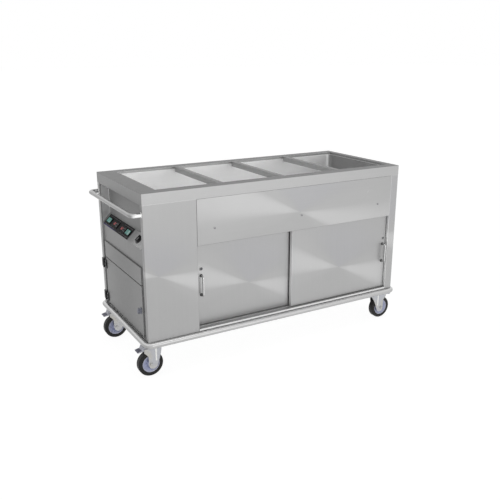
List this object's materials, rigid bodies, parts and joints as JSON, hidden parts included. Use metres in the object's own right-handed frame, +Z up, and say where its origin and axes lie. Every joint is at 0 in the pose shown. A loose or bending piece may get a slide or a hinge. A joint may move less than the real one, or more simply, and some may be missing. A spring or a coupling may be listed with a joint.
{
  "type": "mobile bain marie",
  "caption": "Stainless steel food-warming trolley with an open water well split by loose bars, a cupboard with sliding doors, end controls, a push handle and swivel castors.",
  "frame": {"origin": "on the floor, below the middle of the overall box", "axes": "+Z up, the cupboard's doors face -Y, the controls and the push handle are at the -X end"},
  "size_m": [1.596, 0.686, 0.913],
  "materials": {
    "satin_steel": "satin brushed",
    "well_steel": "matt drawn",
    "element": "heat-darkened",
    "pipe_steel": "drawn",
    "valve_brass": "nickel-plated",
    "control_foil": "printed foil",
    "black_plastic": "moulded",
    "aluminium": "extruded",
    "frame_steel": "mill",
    "polished_tube": "polished",
    "zinc": "bright zinc-plated",
    "grey_plastic": "moulded",
    "hinge_black": "moulded",
    "bow_steel": "polished",
    "lock_nickel": "nickel-plated",
    "latch_grey": "moulded",
    "switch_teal": "tinted translucent",
    "lever_red": "dipped",
    "hub_grey": "moulded",
    "tyre": "rubber",
    "pedal_grey": "moulded"
  },
  "bodies": {
    "trolley": {"top_frame": "satin_steel", "well_tank": "well_steel", "well_heater": "element", "heater_tray": "well_steel", "drain_pipe": "pipe_steel", "drain_valve": "valve_brass", "front_left_panel": "satin_steel", "apron_panel": "satin_steel", "right_end_panel": "satin_steel", "rear_panel": "satin_steel", "left_end_panel": "satin_steel", "wiring_cover": "satin_steel", "control_niche": "satin_steel", "control_panel": "satin_steel", "control_foil": "control_foil", "thermostats": "black_plastic", "switch_frames": "black_plastic", "floor_pan": "satin_steel", "partition": "satin_steel", "upper_track": "aluminium", "lower_guide": "aluminium", "chassis_frame": "frame_steel", "bumper_tube": "polished_tube", "push_handle": "polished_tube", "castor_plates": "zinc", "terminal_box": "grey_plastic", "cupboard_heater": "element", "hinge_post_leaves": "hinge_black"},
    "left_door": {"left_door": "satin_steel", "left_door_handle": "bow_steel"},
    "left_lock": {"left_door_lock": "lock_nickel"},
    "right_door": {"right_door": "satin_steel", "right_door_handle": "bow_steel"},
    "right_lock": {"right_door_lock": "lock_nickel"},
    "service_door": {"service_door": "satin_steel", "hinge_door_leaves": "hinge_black"},
    "service_latch": {"service_door_latch": "latch_grey"},
    "rear_rocker": {"rocker_rear": "switch_teal"},
    "front_rocker": {"rocker_front": "switch_teal"},
    "main_switch": {"main_switch_knob": "black_plastic"},
    "bar_1": {"divider_bar_1": "satin_steel"},
    "bar_2": {"divider_bar_2": "satin_steel"},
    "bar_3": {"divider_bar_3": "satin_steel"},
    "drain_lever": {"drain_valve_lever": "lever_red"},
    "front_left_castor": {"front_left_fork": "zinc"},
    "front_left_wheel": {"front_left_hub": "hub_grey", "front_left_tyre": "tyre"},
    "front_left_brake": {"front_left_pedal": "pedal_grey"},
    "rear_left_castor": {"rear_left_fork": "zinc"},
    "rear_left_wheel": {"rear_left_hub": "hub_grey", "rear_left_tyre": "tyre"},
    "rear_left_brake": {"rear_left_pedal": "pedal_grey"},
    "front_right_castor": {"front_right_fork": "zinc"},
    "front_right_wheel": {"front_right_hub": "hub_grey", "front_right_tyre": "tyre"},
    "front_right_brake": {"front_right_pedal": "pedal_grey"},
    "rear_right_castor": {"rear_right_fork": "zinc"},
    "rear_right_wheel": {"rear_right_hub": "hub_grey", "rear_right_tyre": "tyre"},
    "rear_right_brake": {"rear_right_pedal": "pedal_grey"}
  },
  "joints": [
    {"name": "left_door_slide", "type": "slide", "parent": "trolley", "child": "left_door", "axis": [1, 0, 0], "range_m": [0, 0.49]},
    {"name": "right_door_slide", "type": "slide", "parent": "trolley", "child": "right_door", "axis": [1, 0, 0], "range_m": [-0.49, 0]},
    {"name": "left_lock_turn", "type": "hinge", "parent": "left_door", "child": "left_lock", "pos_m": [-0.438, -0.274, 0.503], "axis": [0, -1, 0], "range_deg": [0, 90]},
    {"name": "right_lock_turn", "type": "hinge", "parent": "right_door", "child": "right_lock", "pos_m": [0.69, -0.302, 0.503], "axis": [0, 1, 0], "range_deg": [0, 90]},
    {"name": "service_door_hinge", "type": "hinge", "parent": "trolley", "child": "service_door", "pos_m": [-0.747, 0.286, 0.2385], "axis": [0, 0, -1], "range_deg": [0, 170]},
    {"name": "service_latch_turn", "type": "hinge", "parent": "service_door", "child": "service_latch", "pos_m": [-0.74, -0.237, 0.334], "axis": [1, 0, 0], "range_deg": [-90, 0]},
    {"name": "rear_rocker_tilt", "type": "hinge", "parent": "trolley", "child": "rear_rocker", "pos_m": [-0.71481, 0.22, 0.66829], "axis": [-0.7139, 0, -0.7002], "range_deg": [0, 16]},
    {"name": "front_rocker_tilt", "type": "hinge", "parent": "trolley", "child": "front_rocker", "pos_m": [-0.71481, -0.055, 0.66829], "axis": [-0.7139, 0, -0.7002], "range_deg": [0, 16]},
    {"name": "main_switch_turn", "type": "hinge", "parent": "trolley", "child": "main_switch", "pos_m": [-0.716, -0.195, 0.6695], "axis": [0.7002, 0, -0.7139], "range_deg": [0, 90]},
    {"name": "bar_1_lift", "type": "slide", "parent": "trolley", "child": "bar_1", "axis": [0, 0, 1], "range_m": [0, 0.06]},
    {"name": "bar_2_lift", "type": "slide", "parent": "trolley", "child": "bar_2", "axis": [0, 0, 1], "range_m": [0, 0.06]},
    {"name": "bar_3_lift", "type": "slide", "parent": "trolley", "child": "bar_3", "axis": [0, 0, 1], "range_m": [0, 0.06]},
    {"name": "drain_lever_turn", "type": "hinge", "parent": "trolley", "child": "drain_lever", "pos_m": [-0.624, 0.01, 0.348], "axis": [1, 0, 0], "range_deg": [0, 90]},
    {"name": "front_left_swivel", "type": "hinge", "parent": "trolley", "child": "front_left_castor", "pos_m": [-0.692, -0.256, 0.15], "axis": [0, 0, 1], "continuous": true},
    {"name": "front_left_roll", "type": "hinge", "parent": "front_left_castor", "child": "front_left_wheel", "pos_m": [-0.716, -0.256, 0.0635], "axis": [0, 1, 0], "continuous": true},
    {"name": "front_left_brake_press", "type": "hinge", "parent": "front_left_castor", "child": "front_left_brake", "pos_m": [-0.723, -0.256, 0.146], "axis": [0, -1, 0], "range_deg": [0, 12]},
    {"name": "rear_left_swivel", "type": "hinge", "parent": "trolley", "child": "rear_left_castor", "pos_m": [-0.692, 0.256, 0.15], "axis": [0, 0, 1], "continuous": true},
    {"name": "rear_left_roll", "type": "hinge", "parent": "rear_left_castor", "child": "rear_left_wheel", "pos_m": [-0.716, 0.256, 0.0635], "axis": [0, 1, 0], "continuous": true},
    {"name": "rear_left_brake_press", "type": "hinge", "parent": "rear_left_castor", "child": "rear_left_brake", "pos_m": [-0.723, 0.256, 0.146], "axis": [0, -1, 0], "range_deg": [0, 12]},
    {"name": "front_right_swivel", "type": "hinge", "parent": "trolley", "child": "front_right_castor", "pos_m": [0.708, -0.256, 0.15], "axis": [0, 0, 1], "continuous": true},
    {"name": "front_right_roll", "type": "hinge", "parent": "front_right_castor", "child": "front_right_wheel", "pos_m": [0.732, -0.256, 0.0635], "axis": [0, 1, 0], "continuous": true},
    {"name": "front_right_brake_press", "type": "hinge", "parent": "front_right_castor", "child": "front_right_brake", "pos_m": [0.739, -0.256, 0.146], "axis": [0, 1, 0], "range_deg": [0, 12]},
    {"name": "rear_right_swivel", "type": "hinge", "parent": "trolley", "child": "rear_right_castor", "pos_m": [0.708, 0.256, 0.15], "axis": [0, 0, 1], "continuous": true},
    {"name": "rear_right_roll", "type": "hinge", "parent": "rear_right_castor", "child": "rear_right_wheel", "pos_m": [0.732, 0.256, 0.0635], "axis": [0, 1, 0], "continuous": true},
    {"name": "rear_right_brake_press", "type": "hinge", "parent": "rear_right_castor", "child": "rear_right_brake", "pos_m": [0.739, 0.256, 0.146], "axis": [0, 1, 0], "range_deg": [0, 12]}
  ]
}
